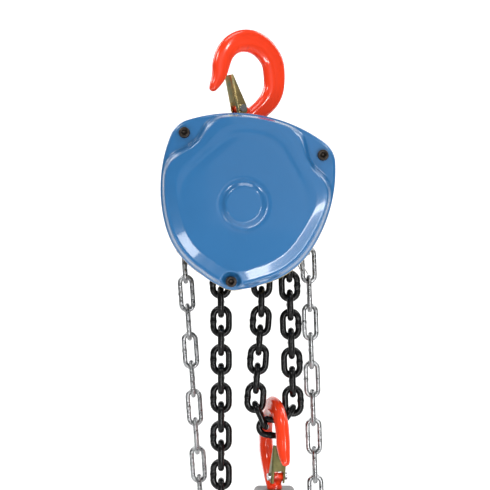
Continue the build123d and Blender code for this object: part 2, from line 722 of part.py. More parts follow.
skin_low, skin_high = pressed(-plate_out - touch_gap, face_y, outline(0.5), raised(), pad_y, 4.0, 3.0)
hollow_low, hollow_high = pressed(-plate_out + 1, face_y + sheet, outline(0.5 - sheet), raised(sheet),
                                  pad_y + sheet, 2.4, 0)
with BuildPart() as gear_cover:
    add(skin_low + skin_high - hollow_low - hollow_high)
    with BuildSketch(body_plane(face_y + 0.5)):
        Circle(20)
    extrude(amount=face_y + 0.5 - boss_y, taper=45)
    with BuildSketch(body_plane(pad_y + 4)):
        with Locations(*stay_points):
            Circle(screw_r + 0.4)
    extrude(amount=8, mode=Mode.SUBTRACT)
save(gear_cover.part, "gear_cover")

cover_screws = []
for point in stay_points:
    with BuildPart() as screw:
        with BuildSketch(body_plane(pad_y - touch_gap)):
            with Locations(point):
                Circle(5.0)
        extrude(amount=5)
        chamfer(screw.faces().sort_by(Axis.Y)[0].edges(), 0.5)
        with BuildSketch(body_plane(pad_y - touch_gap - 6)):
            with Locations(point):
                RegularPolygon(2.8, 6)
        extrude(amount=-4, mode=Mode.SUBTRACT)
        with BuildSketch(body_plane(pad_y)):
            with Locations(point):
                Circle(screw_r - 0.05)
        extrude(amount=-12)
        with BuildSketch(body_plane(pad_y)):
            with Locations(point):
                Circle(7.0)
                Circle(screw_r - 0.1, mode=Mode.SUBTRACT)
        extrude(amount=1.2)
    cover_screws.append(screw.part)
many(cover_screws, "gear_cover_screws")

def dished(grow, back, round_edge):
    """The wheel cover's block: the outline from near the side plate out to its rounded rear face."""
    with BuildPart() as block:
        with BuildSketch(body_plane(back)):
            add(outline(grow))
        extrude(amount=back - plate_out - touch_gap)
        fillet(block.faces().sort_by(Axis.Y)[-1].edges(), round_edge)
    return block.part


with BuildPart() as hand_wheel_cover:
    add(dished(-1, wheel_face_y, 7.0))
    add(dished(-1 - sheet, wheel_face_y - sheet, 5.4), mode=Mode.SUBTRACT)
    with BuildSketch(body_plane(wheel_face_y - 8)):
        with Locations((0, -19 - 50)):
            Rectangle(240, 100)
    extrude(amount=wheel_face_y, mode=Mode.SUBTRACT)
    with BuildSketch(body_plane(wheel_face_y + 1)):
        with Locations(*stay_points):
            Circle(bolt_r + free_fit)
    extrude(amount=9, mode=Mode.SUBTRACT)
save(hand_wheel_cover.part, "hand_wheel_cover")

cover_nuts = []
for point in stay_points:
    with BuildPart() as nut:
        with BuildSketch(body_plane(wheel_face_y + 6.6)):
            with Locations(point):
                RegularPolygon(7.5, 6)
                Circle(bolt_r + 0.03, mode=Mode.SUBTRACT)
        extrude(amount=6.5)
    cover_nuts.append(nut.part)
many(cover_nuts, "wheel_cover_nuts")


# ---------------------------------------------------------------- hooks, in their own plane: u across, v up
def hook_solid(shank_end):
    """A forged hook with its saddle at the origin, tip towards -X and shank down to a given depth."""
    # each section: middle (u, v), direction across the bar, thickness that way, width across the plane
    sections = [(-36.2, -38.6, 164, 4.0, 5.0), (-34.4, -35.0, 158, 8.5, 8.5),
                (-31.0, -29.0, 162, 12.0, 11.0), (-28.6, -22.5, 174, 14.6, 12.5)]
    for angle in (168, 146, 124, 102, 80, 58, 36, 14):
        thick = hook_thick + 3.5 * max(0.0, (90 - angle) / 90) - 3.0 * max(0.0, (angle - 90) / 90)
        mid = saddle_radius + thick / 2
        width = 12.4 + 0.6 * sin(radians(angle))
        middle = (mid * cos(radians(angle)), mid * sin(radians(angle)) - saddle_radius)
        sections.append((*middle, angle, thick, width))
    sections += [(30.2, -32.0, -14, 21.0, 14.0), (25.0, -44.5, -34, 19.5, 14.0),
                 (15.5, -54.0, -50, 17.5, 14.5), (6.5, -60.2, -30, 16.5, 15.0), (1.2, -65.5, -8, 15.6, 15.2)]
    with BuildPart() as hook:
        for u, v, angle, thick, width in sections:
            across = Vector(cos(radians(angle)), 0, sin(radians(angle)))
            normal = Vector(sin(radians(angle)), 0, -cos(radians(angle)))
            with BuildSketch(Plane(origin=(u, 0, v), x_dir=across, z_dir=normal)) as section:
                Ellipse(thick / 2, width / 2)
        loft()
        with BuildSketch(Plane.XY.offset(-64)):
            Circle(shank_radius)
        extrude(amount=64 - shank_end)
        with BuildSketch(Plane.XZ.offset(-5.1)):
            with Locations((latch_u, latch_v)):
                Circle(3.5)
            with Locations((0, -60)):
                Circle(6.0)
            make_hull()
        extrude(amount=10.2)
        with BuildSketch(Plane.XZ.offset(-6)):
            with Locations((latch_u, latch_v)):
                Circle(2.1)
        extrude(amount=12, mode=Mode.SUBTRACT)
    return hook.part


latch_u, latch_v, latch_top_u, latch_top_v = -8.6, -54.6, -16.6, -23.5


def latch_solid():
    """A folded safety latch: a web whose end rests inside the hook's tip, with an ear at each side."""
    along = Vector(latch_top_u - latch_u, latch_top_v - latch_v)
    length = along.length
    lean = degrees(atan2(along.X, along.Y))
    with BuildPart() as latch:
        # outline seen across the hook plane, then hollowed into a channel open towards the bowl
        with BuildSketch(Plane.XZ.offset(-6.7)):
            with BuildLine():
                Polyline((-5.2, -5.0), (5.0, -5.0), (5.5, 2.0), (-1.5, length), (-4.2, length), close=True)
            make_face()
        extrude(amount=13.4)
        fillet(latch.edges().filter_by(Axis.Y).sort_by(Axis.Z)[:3], 2.0)
        with BuildSketch(Plane.XZ.offset(-5.4)):
            with BuildLine():
                Polyline((-3.9, -14.0), (9.0, -14.0), (9.0, length + 1), (-2.8, length + 1), close=True)
            make_face()
        extrude(amount=10.8, mode=Mode.SUBTRACT)
        with BuildSketch(Plane.XZ.offset(-8)):
            Circle(2.1)
        extrude(amount=16, mode=Mode.SUBTRACT)
        with BuildSketch(Plane(origin=(-8, 0, 0), x_dir=(0, 1, 0), z_dir=(1, 0, 0))):
            with Locations((0, 1.0)):
                Rectangle(6.4, 13.0)
        extrude(amount=6.0, mode=Mode.SUBTRACT)
    return Pos(latch_u, 0, latch_v) * Rot(0, lean, 0) * latch.part


def latch_pin_solid():
    """The latch's rivet, with a head at each end."""
    with BuildPart() as pin:
        with BuildSketch(Plane.XZ.offset(-8.2)):
            Circle(2.0)
        extrude(amount=16.4)
        for side in (-1, 1):
            with BuildSketch(Plane.XZ.offset(side * 6.9)):
                Circle(3.4)
            extrude(amount=side * 2.2)
    return Pos(latch_u, 0, latch_v) * pin.part


top_hook_end, bottom_hook_end = 89.0, 90.0
top_place = Rot(0, 0, top_hook_turn)
bottom_place = Pos(bottom_hook_x, 0, bottom_hook_z) * Rot(0, 0, bottom_hook_turn)
hooks = (("top_hook", top_place, top_hook_end), ("bottom_hook", bottom_place, bottom_hook_end))
for name, place, end in hooks:
    save(place * hook_solid(end), name)
    save(place * latch_solid(), name.replace("hook", "latch"))
    save(place * latch_pin_solid(), name.replace("hook", "latch") + "_pin")


def hook_nut_solid(depth):
    """Round nut below the yoke's seat, cross-drilled for its pin."""
    with BuildPart() as nut:
        with BuildSketch(Plane.XY.offset(-depth)):
            Circle(11.0)
            Circle(shank_radius + 0.02, mode=Mode.SUBTRACT)
        extrude(amount=-11.0)
        chamfer(nut.edges().filter_by(GeomType.CIRCLE).sort_by(SortBy.RADIUS)[-2:], 1.0)
    return nut.part


save(hook_nut_solid(77.1), "top_hook_nut")
save(Pos(bottom_hook_x, 0, bottom_hook_z) * hook_nut_solid(78.1), "bottom_hook_nut")
save(Pos(0, 0, -75.0) * Cylinder(11.5, 1.9, align=(Align.CENTER, Align.CENTER, Align.MAX))
     - Pos(0, 0, -75.0) * Cylinder(shank_radius + 0.3, 1.9, align=(Align.CENTER, Align.CENTER, Align.MAX)),
     "top_thrust_washer")

yoke_top_z = -67.0
with BuildPart() as top_yoke:
    with BuildSketch(Plane.XZ.offset(-15)):
        with BuildLine():
            Polyline((-15, yoke_top_z), (15, yoke_top_z), (15, top_pin_z + 4), (-15, top_pin_z + 4),
                     close=True)
        make_face()
        with Locations((0, top_pin_z)):
            Circle(10.5)
        make_hull()
    extrude(amount=30)
    fillet(top_yoke.edges().filter_by(Axis.Z), 3)
    with BuildSketch(Plane.XY.offset(-75)):
        Circle(12.0)
    extrude(amount=-15.0, mode=Mode.SUBTRACT)
    with BuildSketch(Plane.XY.offset(yoke_top_z + 1)):
        Circle(shank_radius + run_fit * 2)
    extrude(amount=-30, mode=Mode.SUBTRACT)
    with BuildSketch(Plane.XZ.offset(-16)):
        with Locations((0, top_pin_z)):
            Circle(top_pin_r + run_fit)
    extrude(amount=32, mode=Mode.SUBTRACT)
save(top_yoke.part, "top_yoke")

# ---------------------------------------------------------------- bottom hook's yoke
yoke_high, yoke_low = bottom_hook_z - 67.0, load_pin_at.Z - 9.0
bolt_spots = [(-13.5, bottom_hook_z - 73.0), (13.5, bottom_hook_z - 73.0), (-13.5, load_pin_at.Z + 2.0),
              (13.5, load_pin_at.Z + 2.0)]
for name, side in (("bottom_yoke_front", -1), ("bottom_yoke_back", 1)):
    with BuildPart() as half:
        with BuildSketch(Plane.XZ.offset(-side * 0.03)):
            with Locations((bottom_hook_x, (yoke_high + yoke_low) / 2)):
                RectangleRounded(38, yoke_high - yoke_low, 5)
        extrude(amount=-side * 15)
        fillet(half.faces().sort_by(Axis.Y)[0 if side < 0 else -1].edges(), 3)
        with BuildSketch(Plane.XY.offset(bottom_hook_z - 76.5)):
            with Locations((bottom_hook_x, 0)):
                Circle(11.6)
        extrude(amount=-15, mode=Mode.SUBTRACT)
        with BuildSketch(Plane.XY.offset(yoke_high + 1)):
            with Locations((bottom_hook_x, 0)):
                Circle(shank_radius + 0.2)
        extrude(amount=-24, mode=Mode.SUBTRACT)
        with BuildSketch(Plane.XY.offset(yoke_low - 1)):
            with Locations((bottom_hook_x, 0)):
                Rectangle(load_width + 1.6, load_wire + 1.2)
        extrude(amount=load_pin_at.Z + 11.0 - yoke_low + 1, mode=Mode.SUBTRACT)
        with BuildSketch(Plane.XZ.offset(-20)):
            with Locations((bottom_hook_x, load_pin_at.Z)):
                Circle(load_wire / 2)
            with Locations(*[(bottom_hook_x + x, z) for x, z in bolt_spots]):
                Circle(2.6)
        extrude(amount=40, mode=Mode.SUBTRACT)
    save(half.part, name)
save(rod(Plane.XZ.offset(-13), load_wire / 2 - 0.1, 26, (bottom_hook_x, load_pin_at.Z)), "load_pin")
yoke_bolts, yoke_nuts = [], []
for x, z in bolt_spots:
    with BuildPart() as bolt:
        with BuildSketch(Plane.XZ.offset(15.1)):
            with Locations((bottom_hook_x + x, z)):
                Circle(4.0)
        extrude(amount=3.2)
        with BuildSketch(Plane.XZ.offset(19)):
            with Locations((bottom_hook_x + x, z)):
                RegularPolygon(2.4, 6)
        extrude(amount=-2.6, mode=Mode.SUBTRACT)
        with BuildSketch(Plane.XZ.offset(15.2)):
            with Locations((bottom_hook_x + x, z)):
                Circle(2.45)
        extrude(amount=-35)
    yoke_bolts.append(bolt.part)
    with BuildPart() as nut:
        with BuildSketch(Plane.XZ.offset(-15.15)):
            with Locations((bottom_hook_x + x, z)):
                RegularPolygon(4.6, 6)
                Circle(2.5, mode=Mode.SUBTRACT)
        extrude(amount=-4)
    yoke_nuts.append(nut.part)
many(yoke_bolts, "bottom_yoke_bolts")
many(yoke_nuts, "bottom_yoke_nuts")

# ---------------------------------------------------------------- chains
many(links(load_link, sheave_row + fall_fixed + slack_fixed + anchor_fixed), "load_chain_on_sheave")
many(links(load_link, fall_moving + turn_row + end_row), "load_chain_fall")
many(links(load_link, slack_moving + bight_row + anchor_moving), "load_chain_slack")
many(links(hand_link, wheel_row + left_fixed + right_fixed), "hand_chain_on_wheel")
many(links(hand_link, left_moving + low_row[:3]), "hand_chain_left")
many(links(hand_link, right_moving + low_row[3:] + close_row), "hand_chain_right")
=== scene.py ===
import json
import math
from math import asin, acos, atan2, cos, degrees, hypot, pi, radians, sin, sqrt
import bpy
import bmesh
import numpy as np
from mathutils import Matrix, Vector


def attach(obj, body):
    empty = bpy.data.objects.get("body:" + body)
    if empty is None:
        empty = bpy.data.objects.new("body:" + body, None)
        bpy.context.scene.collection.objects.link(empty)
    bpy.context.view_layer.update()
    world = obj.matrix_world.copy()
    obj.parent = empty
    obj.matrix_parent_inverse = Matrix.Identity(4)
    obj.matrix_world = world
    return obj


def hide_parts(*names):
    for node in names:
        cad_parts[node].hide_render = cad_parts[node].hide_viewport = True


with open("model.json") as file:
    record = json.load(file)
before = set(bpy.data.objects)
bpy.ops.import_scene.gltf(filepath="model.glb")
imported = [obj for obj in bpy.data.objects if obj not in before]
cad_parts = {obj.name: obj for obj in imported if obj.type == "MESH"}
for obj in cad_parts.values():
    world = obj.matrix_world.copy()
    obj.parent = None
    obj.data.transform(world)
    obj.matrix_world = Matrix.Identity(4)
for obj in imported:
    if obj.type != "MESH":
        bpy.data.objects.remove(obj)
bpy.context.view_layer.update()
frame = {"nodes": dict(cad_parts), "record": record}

MM = 0.001

# ------------------------------------------------------------------ the hoist's own sizes, mm
HUB_X, HUB_Z, TILT = -2.5, -145.0, radians(9.25)
LOBE_X, LOBE_Y, FOOT_Y = 62.8, 55.2, -69.5
BACK_Y, PAD_Y, FACE_Y, BOSS_Y = -21.1, -44.0, -54.0, -57.1  # cover: rim, screw pads, raised face, boss
CORNER_R, SIDE_R, TOP_R, FOOT_R, RIM_R, CROWN = 24.3, 130.0, 140.0, 24.0, 73.5, 82.6  # outline's arcs
CORNER_AT = (51.9, 46.0)
BOTTOM_HOOK = (26.0, -339.9)
TOP_TURN, BOTTOM_TURN = radians(31), radians(105)
LATCH_U, LATCH_V, LATCH_TOP_U, LATCH_TOP_V = -8.6, -54.6, -16.6, -23.5


# ------------------------------------------------------------------ mesh helpers
def new_object(name, verts, faces, smooth=True):
    mesh = bpy.data.meshes.new(name)
    mesh.from_pydata([tuple(c * MM for c in v) for v in verts], [], faces)
    mesh.validate()
    bm = bmesh.new()
    bm.from_mesh(mesh)
    bmesh.ops.remove_doubles(bm, verts=bm.verts, dist=1e-6)
    bmesh.ops.recalc_face_normals(bm, faces=bm.faces)
    bm.to_mesh(mesh)
    bm.free()
    if smooth:
        for p in mesh.polygons:
            p.use_smooth = True
    obj = bpy.data.objects.new(name, mesh)
    bpy.context.collection.objects.link(obj)
    return obj


def grid_faces(rows, cols, close_rows=False, close_cols=True, base=0):
    faces = []
    for i in range(rows if close_rows else rows - 1):
        for j in range(cols if close_cols else cols - 1):
            a = base + i * cols + j
            b = base + i * cols + (j + 1) % cols
            c = base + ((i + 1) % rows) * cols + (j + 1) % cols
            d = base + ((i + 1) % rows) * cols + j
            faces.append((a, b, c, d))
    return faces


def step(x, low, high):
    t = np.clip((x - low) / (high - low), 0, 1)
    return t * t * (3 - 2 * t)


def body(lx, ly, y):
    """World place of a point given in the leaning frame."""
    return (HUB_X + lx * cos(TILT) + ly * sin(TILT), y, HUB_Z - lx * sin(TILT) + ly * cos(TILT))


# ------------------------------------------------------------------ materials
def material(name, color, metallic, rough, scale=60.0, vary=0.12, bump=0.15, bump_scale=None, coat=0.0,
             rough_vary=0.12, second=None, second_low=0.45, second_high=0.6, kind="noise", level=0.5):
    mat = bpy.data.materials.new(name)
    mat.use_nodes = True
    nt = mat.node_tree
    bsdf = nt.nodes["Principled BSDF"]
    bsdf.inputs["Metallic"].default_value = metallic
    bsdf.inputs["Specular IOR Level"].default_value = level
    bsdf.inputs["Coat Weight"].default_value = coat
    bsdf.inputs["Coat Roughness"].default_value = 0.06
    coords = nt.nodes.new("ShaderNodeTexCoord")
    if kind == "noise":
        tex = nt.nodes.new("ShaderNodeTexNoise")
        tex.inputs["Detail"].default_value = 5.0
    else:
        tex = nt.nodes.new("ShaderNodeTexVoronoi")
    tex.inputs["Scale"].default_value = scale
    nt.links.new(coords.outputs["Object"], tex.inputs["Vector"])
    out = tex.outputs[0]
    ramp = nt.nodes.new("ShaderNodeValToRGB")
    low = [c * (1 - vary) for c in color]
    high = [min(1.0, c * (1 + vary)) for c in color]
    ramp.color_ramp.elements[0].position = 0.3
    ramp.color_ramp.elements[1].position = 0.7
    ramp.color_ramp.elements[0].color = (*low, 1)
    ramp.color_ramp.elements[1].color = (*high, 1)
    nt.links.new(out, ramp.inputs["Fac"])
    shade = ramp.outputs["Color"]
    if second is not None:
        spots = nt.nodes.new("ShaderNodeTexNoise")
        spots.inputs["Scale"].default_value = scale * 2.3
        spots.inputs["Detail"].default_value = 8.0
        nt.links.new(coords.outputs["Object"], spots.inputs["Vector"])
        edge = nt.nodes.new("ShaderNodeMapRange")
        edge.inputs["From Min"].default_value = second_low
        edge.inputs["From Max"].default_value = second_high
        nt.links.new(spots.outputs[0], edge.inputs["Value"])
        mix = nt.nodes.new("ShaderNodeMix")
        mix.data_type = "RGBA"
        nt.links.new(edge.outputs["Result"], mix.inputs["Factor"])
        nt.links.new(shade, mix.inputs["A"])
        mix.inputs["B"].default_value = (*second, 1)
        shade = mix.outputs["Result"]
    nt.links.new(shade, bsdf.inputs["Base Color"])
    rr = nt.nodes.new("ShaderNodeMapRange")
    rr.inputs["To Min"].default_value = max(0.02, rough - rough_vary)
    rr.inputs["To Max"].default_value = rough + rough_vary
    nt.links.new(out, rr.inputs["Value"])
    nt.links.new(rr.outputs["Result"], bsdf.inputs["Roughness"])
    fine = nt.nodes.new("ShaderNodeTexNoise")
    fine.inputs["Scale"].default_value = bump_scale or scale * 6
    fine.inputs["Detail"].default_value = 3.0
    nt.links.new(coords.outputs["Object"], fine.inputs["Vector"])
    bm = nt.nodes.new("ShaderNodeBump")
    bm.inputs["Strength"].default_value = bump
    bm.inputs["Distance"].default_value = 0.0004
    nt.links.new(fine.outputs[0], bm.inputs["Height"])
    nt.links.new(bm.outputs["Normal"], bsdf.inputs["Normal"])
    return mat


M = {
    "cover_paint": material("cover_paint", (0.024, 0.155, 0.375), 0.0, 0.24, 9, 0.05, 0.05, 900, 0.6, 0.04),
    "hook_paint": material("hook_paint", (0.95, 0.046, 0.006), 0.0, 0.20, 25, 0.06, 0.18, 260, 0.45, 0.08,
                           (0.55, 0.03, 0.01), 0.62, 0.72),
    "zinc_yellow": material("zinc_yellow", (0.62, 0.47, 0.20), 1.0, 0.28, 45, 0.25, 0.10, 700, 0.0, 0.08,
                            (0.36, 0.40, 0.24), 0.50, 0.70),
    "latch_olive": material("latch_olive", (0.17, 0.15, 0.06), 0.9, 0.36, 60, 0.25, 0.15, 600, 0.0, 0.10,
                            (0.10, 0.12, 0.05), 0.50, 0.68),
    "black_chain": material("black_chain", (0.0022, 0.0022, 0.0025), 0.0, 0.17, 160, 0.5, 0.35, 380,
                            0.0, 0.07, (0.009, 0.008, 0.007), 0.60, 0.75, level=0.28),
    "galvanised": material("galvanised", (0.35, 0.355, 0.36), 1.0, 0.30, 260, 0.30, 0.30, 900, 0.0, 0.10,
                           (0.20, 0.20, 0.205), 0.60, 0.78, "voronoi"),
    "black_oxide": material("black_oxide", (0.045, 0.036, 0.030), 0.7, 0.34, 120, 0.4, 0.25, 700, 0.0, 0.1,
                            (0.10, 0.085, 0.07), 0.62, 0.78),
    "gear_steel": material("gear_steel", (0.34, 0.34, 0.35), 1.0, 0.34, 90, 0.2, 0.15, 900, 0.2, 0.1),
    "bright_steel": material("bright_steel", (0.52, 0.52, 0.53), 1.0, 0.27, 110, 0.15, 0.12, 900, 0.0, 0.08),
    "cast_iron": material("cast_iron", (0.10, 0.10, 0.105), 0.5, 0.55, 140, 0.35, 0.6, 420, 0.0, 0.1),
    "friction_lining": material("friction_lining", (0.16, 0.10, 0.06), 0.0, 0.8, 300, 0.4, 0.5, 900,
                                0.0, 0.05),
}

slots = {s["node"]: s["material_slot"] for s in frame["record"]["subparts"]}
for node, obj in frame["nodes"].items():
    obj.data.materials.clear()
    obj.data.materials.append(M[slots[node]])


def finish_piece(obj, node, body_name):
    """Gives a piece its material and body, and lets it stand for its CAD node."""
    obj.data.materials.append(M[slots[node]])
    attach(obj, body_name)
    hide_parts(node)


# ------------------------------------------------------------------ pressed gear cover
def outline_points(grow, count):
    """The three-lobed outline as tangent arcs, resampled evenly by angle about the drive axis."""
    top = np.array([0, CROWN - TOP_R])
    corner = np.array(CORNER_AT)
    ta = atan2(corner[1] - top[1], corner[0])
    slack = hypot(corner[0], corner[1] - top[1]) - (TOP_R - CORNER_R)
    corner = corner - slack * np.array([cos(ta), sin(ta)])
    reach = float(np.hypot(*corner))
    along = (reach ** 2 + (SIDE_R - RIM_R) ** 2 - (SIDE_R - CORNER_R) ** 2) / (2 * reach)
    off = sqrt((SIDE_R - RIM_R) ** 2 - along ** 2)
    unit = corner / reach
    side = np.array([along * unit[0] - off * unit[1], along * unit[1] + off * unit[0]])
    sh = atan2(corner[1] - side[1], corner[0] - side[0])
    sl = atan2(-side[1], -side[0])
    foot = np.array([0, FOOT_Y - 8.3 + FOOT_R])
    fa = -asin((RIM_R - FOOT_R) / -foot[1])
    pts = []

    def arc(centre, radius, a0, a1, n):
        for k in range(n):
            a = a0 + (a1 - a0) * k / (n - 1)
            pts.append((centre[0] + (radius + grow) * cos(a), centre[1] + (radius + grow) * sin(a)))

    arc(top, TOP_R, pi / 2, ta, 60)
    arc(corner, CORNER_R, ta, sh, 60)
    arc(side, SIDE_R, sh, sl, 80)
    arc((0, 0), RIM_R, sl, fa, 60)
    arc(foot, FOOT_R, fa, -pi / 2, 30)
    right = np.array(pts)
    left = right[::-1] * np.array([-1, 1])
    loop = np.vstack([right, left])
    ang = np.unwrap(np.arctan2(loop[:, 1], loop[:, 0]))
    rad = np.hypot(loop[:, 0], loop[:, 1])
    order = np.argsort(-ang)
    ang, rad = ang[order], rad[order]
    want = pi / 2 - 2 * pi * np.arange(count) / count
    radius = np.interp(-want, -ang, rad)
    return want, radius


def smooth_min(a, b, k):
    h = np.clip(0.5 + 0.5 * (b - a) / k, 0, 1)
    return b * (1 - h) + a * h - k * h * (1 - h)


def cover_mesh():
    """The pressed cover: rings drawn in from the outline, raised by their distance from edge and pads."""
    count = 480
    angle, radius = outline_points(-0.6, count)
    edge = np.stack([radius * np.cos(angle), radius * np.sin(angle)], 1)
    rings = 104
    verts = []
    shrink = np.linspace(0, 1, rings) ** 1.25
    layers = []
    # wall from the side plate up to where the pressing turns over
    for y in (BACK_Y, BACK_Y - 1.2, BACK_Y - 8, BACK_Y - 14, BACK_Y - 19):
        layers.append((edge, np.full(count, y)))
    for s in shrink[1:]:
        p = edge * (1 - s)
        # distance to the outline, from the nearest of its short sides
        d = np.full(count, 1e9)
        for i in range(0, count, 2):
            a, b = edge[i], edge[(i + 2) % count]
            ab = b - a
            t = np.clip(((p - a) @ ab) / (ab @ ab), 0, 1)
            d = np.minimum(d, np.hypot(*(p - (a + t[:, None] * ab)).T))
        lip = 3.8 * np.sqrt(np.clip(1 - (1 - np.clip(d / 3.8, 0, 1)) ** 2, 0, 1))
        pad = (BACK_Y - 19.2) - lip
        free = d - 2.2
        for sx in (-1, 1):
            q = np.hypot(p[:, 0] - sx * LOBE_X, p[:, 1] - LOBE_Y)
            free = smooth_min(free, q - 9.5, 34.0)
        slope_from = free
        free = smooth_min(free, np.hypot(p[:, 0], p[:, 1] - FOOT_Y) - 6.6, 3.0)
        # the shoulder: a steep wall, then a shallow slope that is wider round the lower side
        lower = 1 - step(p[:, 1], -25.0, 45.0)
        reach = 7.0 + 3.0 * lower
        wall = np.clip((free + 0.6) / 3.4, 0, 1)
        wall = 0.5 * wall + 0.5 * step(wall, 0.0, 1.0)
        cone = np.clip((slope_from - 2.4 - 2.6 * lower) / reach, 0, 1)
        ease = 1 - (1 - np.clip((cone - 0.85) / 0.15, 0, 1)) ** 2
        cone = np.where(cone < 0.85, cone, 0.85 + 0.075 * ease)
        share = 0.12 + 0.12 * lower
        rise = (1 - share) * wall + share * cone / 0.925
        y = pad + (FACE_Y - PAD_Y) * rise
        y = y + 0.40 * np.exp(-((free - 17.0) / 3.5) ** 2) * (1 - lower)
        r = np.hypot(p[:, 0], p[:, 1])
        y = y + (BOSS_Y - FACE_Y) * (1 - step(r, 15.2, 20.4))
        y = y + 0.55 * np.exp(-((r - 22.0) / 1.7) ** 2)
        layers.append((p, y))
    for p, y in layers:
        verts += [body(p[j, 0], p[j, 1], float(y[j])) for j in range(count)]
    faces = grid_faces(len(layers), count)
    obj = new_object("gear_cover_skin", verts, faces)
    thick = obj.modifiers.new("thick", "SOLIDIFY")
    thick.thickness = 1.4 * MM
    thick.offset = -1.0
    return obj


cover = cover_mesh()
finish_piece(cover, "gear_cover", "frame")


def screw_meshes():
    """Socket-head screws with washers: rings from the washer's rim over the head and down into the hex."""
    verts, faces, ring = [], [], 48
    rows = [(5.05, 0.0), (5.05, -0.8), (4.9, -1.0), (4.75, -1.0),
            (4.75, -4.3), (4.55, -4.8), (4.1, -5.05), (3.1, -5.05)]
    for x, y in ((-LOBE_X, LOBE_Y), (LOBE_X, LOBE_Y), (0, FOOT_Y)):
        base = len(verts)
        for r, h in rows:
            for j in range(ring):
                b = 2 * pi * j / ring
                knurl = 0.06 * (j % 2) if r == 4.75 else 0.0
                verts.append(body(x + (r + knurl) * cos(b), y + (r + knurl) * sin(b), PAD_Y - 0.1 + h))
        for size, h in ((2.9, -4.9), (2.75, -4.6), (2.75, -1.6), (0.3, -1.2)):
            for j in range(ring):
                b = 2 * pi * j / ring
                flat = (b % (pi / 3)) - pi / 6
                r = size * cos(pi / 6) / cos(flat)
                verts.append(body(x + r * cos(b), y + r * sin(b), PAD_Y - 0.1 + h))
        faces += grid_faces(len(rows) + 4, ring, base=base)
        faces.append(tuple(reversed(range(base, base + ring))))
        last = base + (len(rows) + 3) * ring
        faces.append(tuple(range(last, last + ring)))
    return new_object("cover_screws_socket", verts, faces)


finish_piece(screw_meshes(), "gear_cover_screws", "frame")


# ------------------------------------------------------------------ forged hooks
def hook_sections(stout):
    """Sections along the bar: middle (u, v), direction across it in degrees, thickness that way, width."""
    sections = [(-37.0, -40.2, 158, 1.2, 1.6), (-36.4, -38.9, 160, 5.6, 6.6), (-34.4, -35.0, 158, 9.0, 9.2),
                (-31.0, -29.0, 162, 12.0, 11.2), (-28.6, -22.5, 174, 14.6, 12.6)]
    for a in (168, 146, 124, 102, 80, 58, 36, 14):
        thick = 18.0 + 3.5 * max(0.0, (90 - a) / 90) - 3.0 * max(0.0, (a - 90) / 90)
        mid = 20.0 + thick / 2
        thick += stout * sin(radians(min(a + 20, 150)))
        width = 12.4 + 0.6 * sin(radians(a))
        sections.append((mid * cos(radians(a)), mid * sin(radians(a)) - 20.0, a, thick, width))
    sections += [(30.2, -32.0, -14, 21.0, 13.6), (25.0, -44.5, -34, 19.5, 13.8),
                 (15.5, -54.0, -50, 17.5, 14.3), (6.5, -60.2, -30, 16.2, 14.8),
                 (1.2, -65.0, -8, 14.6, 14.4), (0, -67.6, 0, 14.0, 14.0),
                 (0, -78, 0, 14.0, 14.0), (0, -89, 0, 14.0, 14.0)]
    return np.array(sections, float)


def catmull(points, per):
    """A smooth run through the points, with a number of steps between each two."""
    out = []
    n = len(points)
    for i in range(n - 1):
        p0, p1, p2, p3 = points[max(i - 1, 0)], points[i], points[i + 1], points[min(i + 2, n - 1)]
        for k in range(per):
            t = k / per
            out.append(0.5 * ((2 * p1) + (-p0 + p2) * t + (2 * p0 - 5 * p1 + 4 * p2 - p3) * t * t
                              + (-p0 + 3 * p1 - 3 * p2 + p3) * t ** 3))
    out.append(points[-1])
    return np.array(out)


def hook_mesh(name, turn, at, stout):
    """A forged hook: smooth sections along its bar, closed at both ends; stout thickens the arch."""
    rows = catmull(hook_sections(stout), 9)
    around = 56
    verts = []
    total = len(rows)
    for i, (u, v, a, thick, width) in enumerate(rows):
        a = radians(a)
        f = i / total
        neck = step(np.array(f), 0.80, 0.90)
        back = step(np.array(f), 0.30, 0.42) * (1 - step(np.array(f), 0.70, 0.80))
        for j in range(around):
            b = 2 * pi * j / around
            power = 0.86 + 0.14 * float(neck) if stout else 1.0
            cb, sb = cos(b), sin(b)
            across = abs(cb) ** power * (1 if cb >= 0 else -1) * thick / 2
            side = abs(sb) ** power * (1 if sb >= 0 else -1) * width / 2
            # flatter inside of the bowl, slimmer outside, and a shallow forged panel on each flank
            side *= 1 - 0.10 * (1 - float(neck)) * max(0.0, cb)
            panel = math.exp(-((across - 0.10 * thick) / (0.20 * thick)) ** 4)
            side -= (1 if sb >= 0 else -1) * 1.3 * float(back) * panel
            pu = u + across * cos(a)
            pv = v + across * sin(a)
            verts.append((pu, side, pv))
    base = len(verts)
    verts.append((rows[0][0] - 0.2, 0, rows[0][1] - 0.4))
    verts.append((rows[-1][0], 0, rows[-1][1]))
    faces = grid_faces(total, around)
    for j in range(around):
        faces.append((base, (j + 1) % around, j))
        faces.append((base + 1, (total - 1) * around + j, (total - 1) * around + (j + 1) % around))
    # the boss that carries the latch: a short bar running into the neck
    start = len(verts)
    ring = 40
    for side in (-5.1, -4.6, 4.6, 5.1):
        r_out = 3.5 if abs(side) < 5 else 3.0
        for j in range(ring):
            b = 2 * pi * j / ring
            far = cos(b) * cos(radians(-32)) + sin(b) * sin(radians(-32)) > 0
            cu, cv = (0.5, -60.0) if far else (LATCH_U, LATCH_V)
            r = r_out + (2.4 if far else 0)
            verts.append((cu + r * cos(b), side, cv + r * sin(b)))
    faces += grid_faces(4, ring, base=start)
    faces.append(tuple(range(start, start + ring)))
    faces.append(tuple(reversed(range(start + 3 * ring, start + 4 * ring))))
    c, s = cos(turn), sin(turn)
    verts = [(at[0] + x * c - y * s, x * s + y * c, at[1] + z) for x, y, z in verts]
    return new_object(name, verts, faces)


